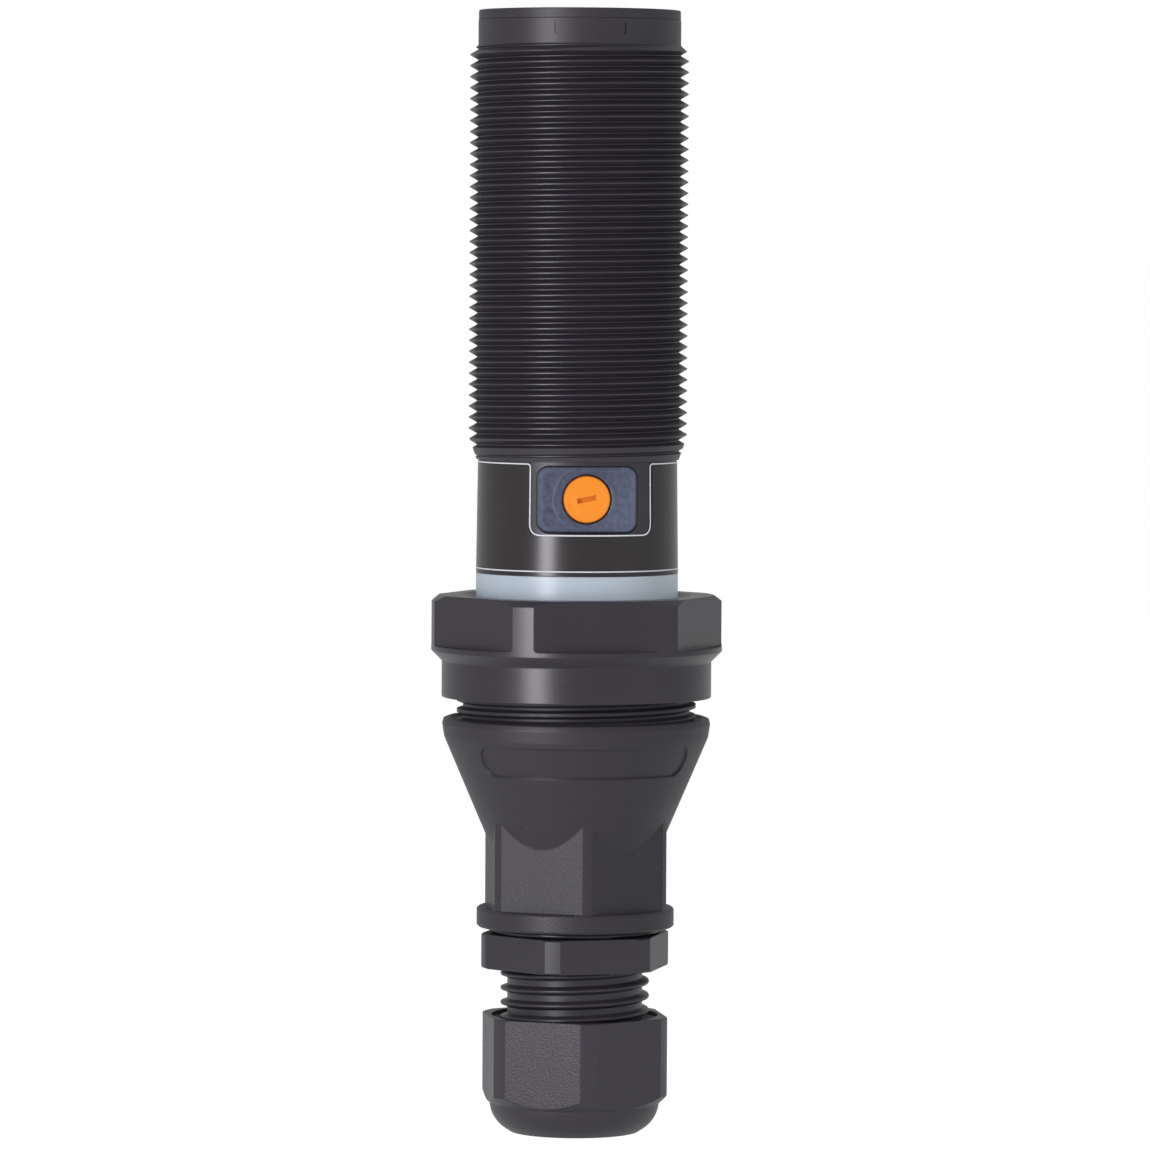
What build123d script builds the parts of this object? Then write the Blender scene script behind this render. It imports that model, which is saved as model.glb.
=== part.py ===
from build123d import *
import math
import os

# Proximity sensor in an M30 threaded plastic barrel. It stands upright: sensing face on top, terminal
# chamber and cable gland below. Z runs along the barrel, and z = 0 is the rounded end of the gland.
# The sensitivity adjuster faces -Y. A bearing is an angle round the barrel from -Y towards +X.

os.makedirs("parts", exist_ok=True)

# ---- driving dimensions, in millimetres and degrees ----

BARREL_CREST = 14.96         # M30 x 1.5 thread
BARREL_ROOT = 13.87
BARREL_PITCH = 1.5
BARREL_PHASE = 1.376         # height, within one pitch, where a ridge crosses +X
BARREL_BORE = 12.4
BARREL_LOW = 76.85
SKIRT_TOP = 92.4             # the plain skirt under the label ends here
SKIRT_R_TOP = 13.55
SKIRT_R_LOW = 13.76
THREAD_TOP = 148.95
NOSE_R = 13.85
NOSE_TOP = 152.4
NOSE_EDGE = 0.1
TICK_BEARING = 20.0          # alignment ticks on the nose, either side of -Y
TICK_SIZE = (0.28, 1.5)
TICK_Z = 150.9
TICK_DEPTH = 0.15
FACE_Z = 153.7               # sensing face
FACE_R = 13.8
FACE_EDGE = 0.12
CAP_SKIRT_R = (11.4, 12.3)   # ring under the cap that plugs into the barrel
CAP_SKIRT_LOW = 149.6

LABEL_FILM = 0.1
LABEL_LOW = 77.0
LABEL_TOP = 92.2
LABEL_NOTCH = (-7.7, 9.1)    # X limits of the notch round the adjuster
LABEL_NOTCH_LOW = 82.4
LABEL_NOTCH_CORNER = 1.6

ADJUSTER_Z = 87.3
WINDOW_SIZE = (13.8, 9.25)   # width, height
WINDOW_CORNER = 1.7
WINDOW_FACE = 11.8           # distance of the flat pad from the axis
WINDOW_BACK = 10.2
COLLET_R = 4.4               # round guide behind the pad
COLLET_BACK = 7.9
ADJUSTER_R = 3.27
ADJUSTER_SLOT = (2.6, 0.63)
ADJUSTER_SLOT_DEPTH = 0.8
ADJUSTER_TILT = 11.0
STEM_R = 1.5
STEM_BACK = 6.8
TRIMMER_R = 2.5
TRIMMER_FRONT = 7.4
TRIMMER_BACK = 5.8

RING_R = 13.85               # light ring
NUT_TOP = 73.8               # union nut
NUT_FLATS = 36.0
NUT_FLAT_LOW = 66.9          # the wrench flats stop here, above the collar
NUT_FLAT_CORNER = 0.8
NUT_R = 19.95
NUT_COLLAR_LOW = 66.2
NUT_SLEEVE_R = 18.5
NUT_SLEEVE_TOP = 64.75
NUT_SLEEVE_EDGE = 0.12
NUT_LOW = 59.8
NUT_ROTATION = 2.4
NUT_LIP_BORE = 14.15         # hole in the lip that hooks over the carrier flange
NUT_LIP_FLARE = 15.9
NUT_LIP_FLARE_DEPTH = 0.9
NUT_RECESS_R = 15.7
NECK_CREST = 16.4           # M33 x 1.5 thread between union nut and chamber
NECK_ROOT = 15.55
NECK_PITCH = 1.5
NECK_PHASE = 0.212
NECK_TOP = 67.0
NECK_LOW = 56.0
NECK_BORE = 13.8
FLANGE_R = 15.35             # carrier flange that the union nut pulls on
FLANGE_TOP = 70.7
FLANGE_LOW = 68.85
SPIGOT_R = 13.3
SPIGOT_LOW = 65.8

SHOULDER_Z = 57.05           # terminal chamber
SHOULDER_GROOVE = (17.0, 56.6)   # radius and floor of the shallow groove round the neck
RIM_R = 18.4
RIM_LOW = 56.2
CONE_TOP = (17.98, 54.0)
CONE_FOOT = (11.13, 38.0)
CHAMBER_FLATS = 23.6
CHAMBER_CORNER_R = 13.25
CHAMBER_ROTATION = 30.7
HEX_TOP = 44.5
FOOT_R = 13.55
FOOT_TOP = 30.9
FOOT_EDGE = 0.25
CHAMBER_LOW = 28.25
WIRING_FLOOR = 41.0          # the wiring space widens from here
WIRING_FULL = 49.5           # to the neck's bore here
PANEL_LOW = 49.6             # bare pill-shaped panel on the cone
PANEL_TOP = 53.7
PANEL_DEPTH = 0.25
PANEL_HALF_ANGLE = 55.0
PANEL_CORNER = 1.95

GLAND_CREST = 9.95           # M20 x 1.5 thread into the chamber
GLAND_ROOT = 9.05
GLAND_PITCH = 1.5
GLAND_BORE = 7.0
GLAND_TOP = 38.0
TAP_TOP = 39.6               # the chamber's M20 thread ends here
GLAND_HEX_TOP = 27.4
GLAND_HEX_LOW = 22.7
GLAND_HEX_FLATS = 23.75
GLAND_HEX_R = 13.13
GLAND_HEX_EDGE = 0.2
GLAND_ROTATION = 10.3
GASKET_R = 11.7
CAP_THREAD_CREST = 10.22     # rounded thread that the dome nut runs on
CAP_THREAD_ROOT = 9.28
CAP_THREAD_PITCH = 2.0
CAP_THREAD_PHASE = 0.735
CAP_CREST_HALF = 0.15
TUBE_LOW = 9.5
TUBE_BORE = 8.0
TUBE_BORE_TOP = 23.5
DOME_TOP = 16.05
DOME_EDGE = 0.2
DOME_MOUTH = (11.45, 0.6)    # radius and depth of the open mouth, before it narrows
DOME_MOUTH_NARROW = (10.35, 1.8)
DOME_TAP_LOW = 6.4
DOME_FLATS = 24.0
DOME_CORNER_R = 13.2
DOME_ROTATION = 32.5
CABLE_HOLE_R = 6.75
CAGE_R = 7.9
CAGE_BORE = 6.6
CAGE_TOP = 19.0
CAGE_LOW = 2.4
SEAL_BORE = 5.1

POLE_X = 3.7                 # terminals sit this far either side of the axis
STRIP = (3.4, 0.8)           # contact strip width and thickness
STRIP_LOW = 55.0
BLOCK_LOW = 52.0
BLOCK_HALF_X = 8.2
BLOCK_Y = (-9.8, 5.2)
POCKET_HALF_X = 2.9
POCKET_Y = (-8.7, 4.3)
POCKET_LOW = 54.4
SCREW_Z = 59.0
SCREW_R = 1.5
SCREW_TIP = 0.5              # distances from the barrel's axis, along -Y
SCREW_HEAD = (6.4, 7.6)
SCREW_HEAD_R = 2.2
SCREW_SLOT_DEPTH = 0.7

BOARD_FACE = -2.0            # front and back faces of the main board, along Y
BOARD_BACK = -0.4
BOARD_HALF_X = 11.0
BOARD_TOP = 147.0
TONGUE_TOP = 151.1
ELECTRODE_BOARD = (150.3, 151.9)
SHIELD_R = (12.0, 12.25)
SHIELD_Z = (119.0, 149.4)
RESIN_R = 12.35
RESIN_Z = (100.0, 118.0)
HUB_BORE = 11.0
HUB_R = 12.3
HUB_TOP = 82.0

RUNNING_GAP = 0.1           # between the flanks of engaged threads
RIDGE_SINK = 0.08            # how far a ridge is rooted in its rod


def turn(*outline, mode=Mode.ADD):
    """Turn an outline of (radius, height) points about the barrel's axis."""
    with BuildSketch(Plane.XZ) as profile:
        with BuildLine():
            Polyline(*outline, close=True)
        make_face()
    revolve(profile.sketch, axis=Axis.Z, mode=mode)


def disc(radius, low, high, mode=Mode.ADD):
    """A round slab between two heights."""
    with BuildSketch(Plane.XY.offset(low)) as profile:
        Circle(radius)
    extrude(profile.sketch, amount=high - low, mode=mode)


def block(x_range, y_range, z_range, mode=Mode.ADD):
    """A rectangular block between pairs of limits."""
    centre = [(low + high) / 2 for low, high in (x_range, y_range)]
    with BuildSketch(Plane.XY.offset(z_range[0])) as profile:
        with Locations(tuple(centre)):
            Rectangle(x_range[1] - x_range[0], y_range[1] - y_range[0])
    extrude(profile.sketch, amount=z_range[1] - z_range[0], mode=mode)


def wrench_flats(across_flats, rotation, low, high):
    """Trim everything between two heights to a hexagon."""
    with BuildSketch(Plane.XY.offset(low)) as profile:
        Circle(across_flats)
        RegularPolygon(across_flats / 2, 6, major_radius=False, rotation=rotation, mode=Mode.SUBTRACT)
    extrude(profile.sketch, amount=high - low, mode=Mode.SUBTRACT)


def threaded_rod(root, crest, pitch, phase, low, high, crest_half, flank, gap=0.0, rounded=False):
    """A rod with a right-hand thread that covers low to high and runs past both.

    crest_half is half the width of the crest, flank the flank's angle to the radius, and gap
    moves every face of the thread outwards, as for the thread of the mating nut.
    """
    slope = math.tan(math.radians(flank))
    base = root + gap - RIDGE_SINK
    depth = crest + gap - base
    top_half = crest_half + gap * (1 / math.cos(math.radians(flank)) - slope)
    foot_half = top_half + depth * slope
    first = phase + pitch * (math.floor((low - phase) / pitch) - 1)
    turns = math.ceil((high - first) / pitch) + 1
    with BuildPart() as rod:
        with BuildLine() as path:
            for number in range(turns):
                Helix(pitch, pitch, base, center=(0, 0, first + number * pitch))
        wire = path.wires()[0]
        with BuildSketch(Plane(origin=wire @ 0, x_dir=(1, 0, 0), z_dir=wire % 0)):
            with BuildLine():
                if rounded:
                    shoulder = depth - 0.35
                    shoulder_half = foot_half - shoulder * slope
                    Polyline((shoulder, shoulder_half), (0, foot_half), (0, -foot_half),
                             (shoulder, -shoulder_half))
                    ThreePointArc((shoulder, -shoulder_half), (depth, 0), (shoulder, shoulder_half))
                else:
                    Polyline((0, -foot_half), (depth, -top_half), (depth, top_half),
                             (0, foot_half), close=True)
            make_face()
        sweep(path=wire, is_frenet=True, clean=False)
        with BuildSketch(Plane.XY.offset(first - pitch)):
            Circle(root + gap)
        extrude(amount=(turns + 2) * pitch, clean=False)
    return rod.part


def finish(part, name):
    """Label a finished sub-part and write it as its own STEP file."""
    part.label = name
    export_step(part, f"parts/{name}.step")


# ---- sensor barrel and what is fixed in it ----

barrel_thread = threaded_rod(BARREL_ROOT, BARREL_CREST, BARREL_PITCH, BARREL_PHASE,
                             SKIRT_TOP, THREAD_TOP, crest_half=0.06, flank=30)
with BuildPart() as thread_zone:
    turn((BARREL_BORE, SKIRT_TOP), (BARREL_ROOT, SKIRT_TOP), (BARREL_CREST + 0.1, SKIRT_TOP + 3.4),
         (BARREL_CREST + 0.1, THREAD_TOP - 1.15), (NOSE_R, THREAD_TOP), (BARREL_BORE, THREAD_TOP))
    add(barrel_thread, mode=Mode.INTERSECT, clean=False)
with BuildPart() as threaded_barrel:
    add(thread_zone.part)
    turn((BARREL_BORE, BARREL_LOW), (SKIRT_R_LOW, BARREL_LOW), (SKIRT_R_TOP, SKIRT_TOP),
         (BARREL_BORE, SKIRT_TOP))
    turn((BARREL_BORE, THREAD_TOP), (NOSE_R, THREAD_TOP), (NOSE_R, NOSE_TOP - NOSE_EDGE),
         (NOSE_R - NOSE_EDGE, NOSE_TOP), (BARREL_BORE, NOSE_TOP))
    # opening for the adjuster pad
    with BuildSketch(Plane.XZ.offset(9.0)):
        with Locations((0, ADJUSTER_Z)):
            RectangleRounded(*WINDOW_SIZE, WINDOW_CORNER)
    extrude(amount=6.0, mode=Mode.SUBTRACT)
    # two alignment ticks on the nose
    for bearing in (-TICK_BEARING, TICK_BEARING):
        tick_plane = Plane.XZ.rotated((0, 0, bearing)).offset(NOSE_R - TICK_DEPTH)
        with BuildSketch(tick_plane):
            with Locations((0, TICK_Z)):
                Rectangle(*TICK_SIZE)
        extrude(amount=1.0, mode=Mode.SUBTRACT)
finish(threaded_barrel.part, "threaded_barrel")

with BuildPart() as front_cap:
    inner, outer = CAP_SKIRT_R
    turn((0, NOSE_TOP), (inner, NOSE_TOP), (inner, CAP_SKIRT_LOW), (outer, CAP_SKIRT_LOW),
         (outer, NOSE_TOP), (FACE_R, NOSE_TOP), (FACE_R, FACE_Z - FACE_EDGE),
         (FACE_R - FACE_EDGE, FACE_Z), (0, FACE_Z))
finish(front_cap.part, "front_cap")

with BuildPart() as sensing_electrode:
    disc(8.5, ELECTRODE_BOARD[1], NOSE_TOP)
finish(sensing_electrode.part, "sensing_electrode")

with BuildPart() as guard_electrode:
    disc(11.2, ELECTRODE_BOARD[1], NOSE_TOP)
    disc(9.4, ELECTRODE_BOARD[1], NOSE_TOP, mode=Mode.SUBTRACT)
finish(guard_electrode.part, "guard_electrode")

with BuildPart() as electrode_board:
    disc(11.2, *ELECTRODE_BOARD)
    # slots for the tongues of the main board
    for side in (-1, 1):
        block((side * 6 - 2, side * 6 + 2), (BOARD_FACE, BOARD_BACK),
              (ELECTRODE_BOARD[0], TONGUE_TOP), mode=Mode.SUBTRACT)
finish(electrode_board.part, "electrode_board")

with BuildPart() as shield_tube:
    disc(SHIELD_R[1], *SHIELD_Z)
    disc(SHIELD_R[0], *SHIELD_Z, mode=Mode.SUBTRACT)
finish(shield_tube.part, "shield_tube")

with BuildPart() as main_board:
    block((-9.3, 9.3), (BOARD_FACE, BOARD_BACK), (72.0, 84.0))
    block((-BOARD_HALF_X, BOARD_HALF_X), (BOARD_FACE, BOARD_BACK), (84.0, BOARD_TOP))
    for side in (-1, 1):
        block((side * 6 - 2, side * 6 + 2), (BOARD_FACE, BOARD_BACK), (BOARD_TOP, TONGUE_TOP))
finish(main_board.part, "main_board")

with BuildPart() as potting_resin:
    disc(RESIN_R, *RESIN_Z)
    block((-BOARD_HALF_X, BOARD_HALF_X), (BOARD_FACE, BOARD_BACK), RESIN_Z, mode=Mode.SUBTRACT)
finish(potting_resin.part, "potting_resin")

with BuildPart() as smoothing_capacitor:
    with BuildSketch(Plane.XY.offset(85.0)):
        with Locations((-3.4, BOARD_BACK + 4.0)):
            Circle(4.0)
    extrude(amount=12.5)
    fillet(smoothing_capacitor.edges().filter_by(GeomType.CIRCLE), 0.6)
finish(smoothing_capacitor.part, "smoothing_capacitor")

with BuildPart() as film_capacitor:
    block((1.8, 8.0), (BOARD_BACK, 6.6), (85.0, 97.0))
    fillet(film_capacitor.edges().filter_by(Axis.Z), 0.5)
finish(film_capacitor.part, "film_capacitor")

with BuildPart() as output_thyristor:
    with BuildSketch(Plane.XY.offset(92.9)):
        with Locations((-6.6, BOARD_FACE)):
            Circle(2.4)
            Rectangle(6.0, 4.0, align=(Align.CENTER, Align.MIN), mode=Mode.SUBTRACT)
    extrude(amount=4.8)
finish(output_thyristor.part, "output_thyristor")

with BuildPart() as rectifier_bridge:
    block((3.4, 9.4), (BOARD_FACE - 2.4, BOARD_FACE), (92.9, 97.6))
    chamfer(rectifier_bridge.edges().filter_by(Axis.Z).group_by(Axis.Y)[0], 0.4)
finish(rectifier_bridge.part, "rectifier_bridge")

with BuildPart() as control_chip:
    block((-3.0, 3.0), (BOARD_FACE - 1.6, BOARD_FACE), (126.0, 136.0))
    chamfer(control_chip.faces().sort_by(Axis.Y)[0].edges(), 0.3)
finish(control_chip.part, "control_chip")

with BuildPart() as chip_resistors:
    for x in (-7.2, 7.2):
        for z in (122.0, 126.0, 130.0, 134.0, 138.0, 142.0):
            block((x - 1.6, x + 1.6), (BOARD_FACE - 0.6, BOARD_FACE), (z - 0.8, z + 0.8))
finish(chip_resistors.part, "chip_resistors")

with BuildPart() as signal_leds:
    for side in (-1, 1):
        block((side * 8.6 - 1.0, side * 8.6 + 1.0), (BOARD_FACE - 2.0, BOARD_FACE), (73.2, 75.8))
    chamfer(signal_leds.faces().filter_by(Axis.Y).group_by(Axis.Y)[0].edges(), 0.2)
finish(signal_leds.part, "signal_leds")

with BuildPart() as label_sleeve:
    taper = (SKIRT_R_LOW - SKIRT_R_TOP) / (SKIRT_TOP - BARREL_LOW)
    low_r = SKIRT_R_LOW - taper * (LABEL_LOW - BARREL_LOW)
    top_r = SKIRT_R_LOW - taper * (LABEL_TOP - BARREL_LOW)
    turn((low_r, LABEL_LOW), (low_r + LABEL_FILM, LABEL_LOW), (top_r + LABEL_FILM, LABEL_TOP),
         (top_r, LABEL_TOP))
    notch_height = LABEL_TOP + 4.0 - LABEL_NOTCH_LOW
    with BuildSketch(Plane.XZ.offset(5.0)):
        with Locations((sum(LABEL_NOTCH) / 2, LABEL_NOTCH_LOW + notch_height / 2)):
            RectangleRounded(LABEL_NOTCH[1] - LABEL_NOTCH[0], notch_height, LABEL_NOTCH_CORNER)
    extrude(amount=10.0, mode=Mode.SUBTRACT)
finish(label_sleeve.part, "label_sleeve")

# ---- sensitivity adjuster, on an axis along Y ----


def along_adjuster(radius, near, far, mode=Mode.ADD):
    """A round slab on the adjuster's axis; near and far are distances from the barrel's axis."""
    with BuildSketch(Plane.XZ.offset(near)) as profile:
        with Locations((0, ADJUSTER_Z)):
            Circle(radius)
    extrude(profile.sketch, amount=far - near, mode=mode)


with BuildPart() as adjuster_window:
    with BuildSketch(Plane.XZ.offset(WINDOW_BACK)):
        with Locations((0, ADJUSTER_Z)):
            RectangleRounded(WINDOW_SIZE[0] - 0.1, WINDOW_SIZE[1] - 0.1, WINDOW_CORNER - 0.05)
    extrude(amount=WINDOW_FACE - WINDOW_BACK)
    along_adjuster(COLLET_R, COLLET_BACK, WINDOW_BACK)
    along_adjuster(ADJUSTER_R + 0.13, WINDOW_BACK - 0.15, WINDOW_FACE, mode=Mode.SUBTRACT)
    along_adjuster(STEM_R + 0.08, 9.3, WINDOW_BACK - 0.15, mode=Mode.SUBTRACT)
    along_adjuster(2.65, COLLET_BACK, 9.3, mode=Mode.SUBTRACT)
finish(adjuster_window.part, "adjuster_window")

with BuildPart() as adjuster_screw:
    along_adjuster(ADJUSTER_R, WINDOW_BACK, WINDOW_FACE - 0.05)
    along_adjuster(STEM_R, STEM_BACK, WINDOW_BACK)
    chamfer(adjuster_screw.edges().group_by(Axis.Y)[0], 0.15)
    with BuildSketch(Plane.XZ.offset(WINDOW_FACE - 0.05 - ADJUSTER_SLOT_DEPTH)):
        with Locations(Location((0, ADJUSTER_Z), ADJUSTER_TILT)):
            Rectangle(*ADJUSTER_SLOT)
    extrude(amount=2.0, mode=Mode.SUBTRACT)
finish(adjuster_screw.part, "adjuster_screw")

with BuildPart() as adjuster_seal:
    with BuildSketch(Plane.YZ):
        with Locations((-8.7, ADJUSTER_Z + 2.115)):
            Circle(0.52)
    revolve(axis=Axis((0, 0, ADJUSTER_Z), (0, 1, 0)))
finish(adjuster_seal.part, "adjuster_seal")

with BuildPart() as trimmer_rotor:
    along_adjuster(TRIMMER_R, TRIMMER_BACK, TRIMMER_FRONT)
    along_adjuster(STEM_R, STEM_BACK, TRIMMER_FRONT, mode=Mode.SUBTRACT)
finish(trimmer_rotor.part, "trimmer_rotor")

with BuildPart() as trimmer_body:
    block((-3.5, 3.5), (-7.0, BOARD_FACE), (ADJUSTER_Z - 3.5, ADJUSTER_Z + 3.5))
    fillet(trimmer_body.edges().filter_by(Axis.Y), 0.4)
    along_adjuster(TRIMMER_R + 0.15, TRIMMER_BACK - 0.1, 7.0, mode=Mode.SUBTRACT)
finish(trimmer_body.part, "trimmer_body")

# ---- light ring, carrier and terminals ----

with BuildPart() as light_ring:
    turn((HUB_R + 0.05, FLANGE_TOP), (RING_R, FLANGE_TOP), (RING_R, BARREL_LOW),
         (HUB_R + 0.05, BARREL_LOW))
finish(light_ring.part, "light_ring")

with BuildPart() as terminal_carrier:
    turn((0, SPIGOT_LOW), (SPIGOT_R - 0.4, SPIGOT_LOW), (SPIGOT_R, SPIGOT_LOW + 0.4),
         (SPIGOT_R, FLANGE_LOW), (FLANGE_R, FLANGE_LOW), (FLANGE_R, FLANGE_TOP),
         (HUB_R, FLANGE_TOP), (HUB_R, HUB_TOP), (HUB_BORE, HUB_TOP), (HUB_BORE, FLANGE_TOP),
         (0, FLANGE_TOP))
    # slots for the contact strips, and windows that let light out to the ring
    for side in (-1, 1):
        centre = side * POLE_X
        block((centre - STRIP[0] / 2, centre + STRIP[0] / 2), (-STRIP[1] / 2, STRIP[1] / 2),
              (SPIGOT_LOW, FLANGE_TOP), mode=Mode.SUBTRACT)
    for x_range in ((-13.0, -9.8), (9.8, 13.0)):
        block(x_range, (-5.5, 1.5), (72.2, 76.4), mode=Mode.SUBTRACT)
finish(terminal_carrier.part, "terminal_carrier")

with BuildPart() as contact_strips:
    for side in (-1, 1):
        centre = side * POLE_X
        block((centre - STRIP[0] / 2, centre + STRIP[0] / 2), (-STRIP[1] / 2, STRIP[1] / 2),
              (STRIP_LOW, 76.0))
finish(contact_strips.part, "contact_strips")

with BuildPart() as terminal_block:
    block((-BLOCK_HALF_X, BLOCK_HALF_X), BLOCK_Y, (BLOCK_LOW, SPIGOT_LOW))
    chamfer(terminal_block.edges().filter_by(Axis.Z), 0.8)
    for side in (-1, 1):
        centre = side * POLE_X
        block((centre - POCKET_HALF_X, centre + POCKET_HALF_X), POCKET_Y, (POCKET_LOW, SPIGOT_LOW),
              mode=Mode.SUBTRACT)
        # screwdriver hole from the front
        with BuildSketch(Plane.XZ.offset(-POCKET_Y[0] - 1.0)):
            with Locations((centre, SCREW_Z)):
                Circle(2.1)
        extrude(amount=3.0, mode=Mode.SUBTRACT)
        # funnel for the conductor, from below
        with BuildSketch(Plane.XY.offset(BLOCK_LOW)):
            with Locations((centre, 1.9)):
                Circle(2.1)
        with BuildSketch(Plane.XY.offset(POCKET_LOW)):
            with Locations((centre, 1.9)):
                Circle(1.5)
        loft(mode=Mode.SUBTRACT)
finish(terminal_block.part, "terminal_block")

for side, place in ((-1, "left"), (1, "right")):
    centre = side * POLE_X
    with BuildPart() as terminal_screw:
        with BuildSketch(Plane.XZ.offset(SCREW_TIP)):
            with Locations((centre, SCREW_Z)):
                Circle(SCREW_R)
        extrude(amount=SCREW_HEAD[0] - SCREW_TIP)
        with BuildSketch(Plane.XZ.offset(SCREW_HEAD[0])):
            with Locations((centre, SCREW_Z)):
                Circle(SCREW_HEAD_R)
        extrude(amount=SCREW_HEAD[1] - SCREW_HEAD[0])
        with BuildSketch(Plane.XZ.offset(SCREW_HEAD[1] - SCREW_SLOT_DEPTH)):
            with Locations((centre, SCREW_Z)):
                Rectangle(6.0, 0.8)
        extrude(amount=1.0, mode=Mode.SUBTRACT)
    finish(terminal_screw.part, f"terminal_screw_{place}")

    with BuildPart() as terminal_cage:
        block((centre - 2.7, centre + 2.7), (-4.2, 4.0), (SCREW_Z - 3.0, SCREW_Z + 3.0))
        block((centre - 1.9, centre + 1.9), (-2.6, 3.2), (SCREW_Z - 3.0, SCREW_Z + 3.0),
              mode=Mode.SUBTRACT)
        with BuildSketch(Plane.XZ.offset(2.0)):
            with Locations((centre, SCREW_Z)):
                Circle(SCREW_R + 0.05)
        extrude(amount=3.0, mode=Mode.SUBTRACT)
        fillet(terminal_cage.edges().filter_by(Axis.Z).group_by(SortBy.DISTANCE)[-1], 0.4)
    finish(terminal_cage.part, f"terminal_cage_{place}")

with BuildPart() as chamber_seal:
    with BuildSketch(Plane.XZ):
        with Locations((14.25, 67.94)):
            Circle(0.88)
    revolve(axis=Axis.Z)
finish(chamber_seal.part, "chamber_seal")

# ---- union nut and terminal chamber ----

nut_tap = threaded_rod(NECK_ROOT, NECK_CREST, NECK_PITCH, NECK_PHASE, NUT_LOW, NECK_TOP + 0.6,
                       crest_half=0.24, flank=20, gap=RUNNING_GAP)
with BuildPart() as nut_thread_cut:
    disc(NECK_CREST + 1.0, NUT_LOW - 0.5, NECK_TOP + 0.6)
    add(nut_tap, mode=Mode.INTERSECT, clean=False)
with BuildPart() as union_nut:
    turn((NUT_LIP_BORE, NUT_TOP - NUT_LIP_FLARE_DEPTH), (NUT_LIP_FLARE, NUT_TOP), (18.9, NUT_TOP),
         (NUT_R, NUT_TOP - 0.8), (NUT_R, NUT_COLLAR_LOW), (NUT_SLEEVE_R, NUT_SLEEVE_TOP),
         (NUT_SLEEVE_R, NUT_LOW + NUT_SLEEVE_EDGE), (NUT_SLEEVE_R - NUT_SLEEVE_EDGE, NUT_LOW),
         (NUT_LIP_BORE, NUT_LOW))
    # six wrench flats, each with rounded lower corners where it stops above the collar
    flat_width = 2 * math.sqrt(NUT_R ** 2 - (NUT_FLATS / 2) ** 2) + 0.2
    flat_height = 2 * (NUT_TOP - NUT_FLAT_LOW)
    for number in range(6):
        flat_plane = Plane.XZ.rotated((0, 0, NUT_ROTATION + 60 * number)).offset(NUT_FLATS / 2)
        with BuildSketch(flat_plane):
            with Locations((0, NUT_FLAT_LOW + flat_height / 2)):
                RectangleRounded(flat_width, flat_height, NUT_FLAT_CORNER)
        extrude(amount=NUT_R - NUT_FLATS / 2 + 1.0, mode=Mode.SUBTRACT)
    disc(NUT_RECESS_R, NECK_TOP, FLANGE_TOP + 0.2, mode=Mode.SUBTRACT)
    add(nut_thread_cut.part, mode=Mode.SUBTRACT, clean=False)
    turn((14.0, NUT_LOW - 1.0), (17.6, NUT_LOW - 1.0), (NECK_ROOT - 0.3, NUT_LOW + 1.4),
         (14.0, NUT_LOW + 1.4), mode=Mode.SUBTRACT)
finish(union_nut.part, "union_nut")

neck_thread = threaded_rod(NECK_ROOT, NECK_CREST, NECK_PITCH, NECK_PHASE, NECK_LOW,
                           NECK_TOP, crest_half=0.24, flank=20)
chamber_tap = threaded_rod(GLAND_ROOT, GLAND_CREST, GLAND_PITCH, 0, CHAMBER_LOW, TAP_TOP,
                           crest_half=0.1, flank=30, gap=RUNNING_GAP)
with BuildPart() as neck:
    turn((NECK_BORE, NECK_LOW), (NECK_CREST + 0.1, NECK_LOW),
         (NECK_CREST + 0.1, NECK_TOP - 1.0), (NECK_ROOT - 0.1, NECK_TOP), (NECK_BORE, NECK_TOP))
    add(neck_thread, mode=Mode.INTERSECT, clean=False)
with BuildPart() as chamber_thread_cut:
    disc(GLAND_CREST + 1.0, CHAMBER_LOW - 0.5, TAP_TOP)
    add(chamber_tap, mode=Mode.INTERSECT, clean=False)

panel_slope = (CONE_TOP[0] - CONE_FOOT[0]) / (CONE_TOP[1] - CONE_FOOT[1])


def cone_radius(height):
    """Radius of the chamber's conical wall at a height."""
    return CONE_FOOT[0] + panel_slope * (height - CONE_FOOT[1])


panel_low_r = cone_radius(PANEL_LOW)
panel_top_r = cone_radius(PANEL_TOP)
with BuildPart() as panel_cut:
    with BuildSketch(Plane.XZ.rotated((0, 0, -90 - PANEL_HALF_ANGLE))):
        with BuildLine():
            Polyline((panel_low_r - PANEL_DEPTH, PANEL_LOW), (panel_low_r + 1, PANEL_LOW),
                     (panel_top_r + 1, PANEL_TOP), (panel_top_r - PANEL_DEPTH, PANEL_TOP), close=True)
        make_face()
    revolve(axis=Axis.Z, revolution_arc=2 * PANEL_HALF_ANGLE)
    corners = panel_cut.edges().filter_by(GeomType.LINE).filter_by(Plane.XY)
    fillet(corners, PANEL_CORNER)

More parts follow.
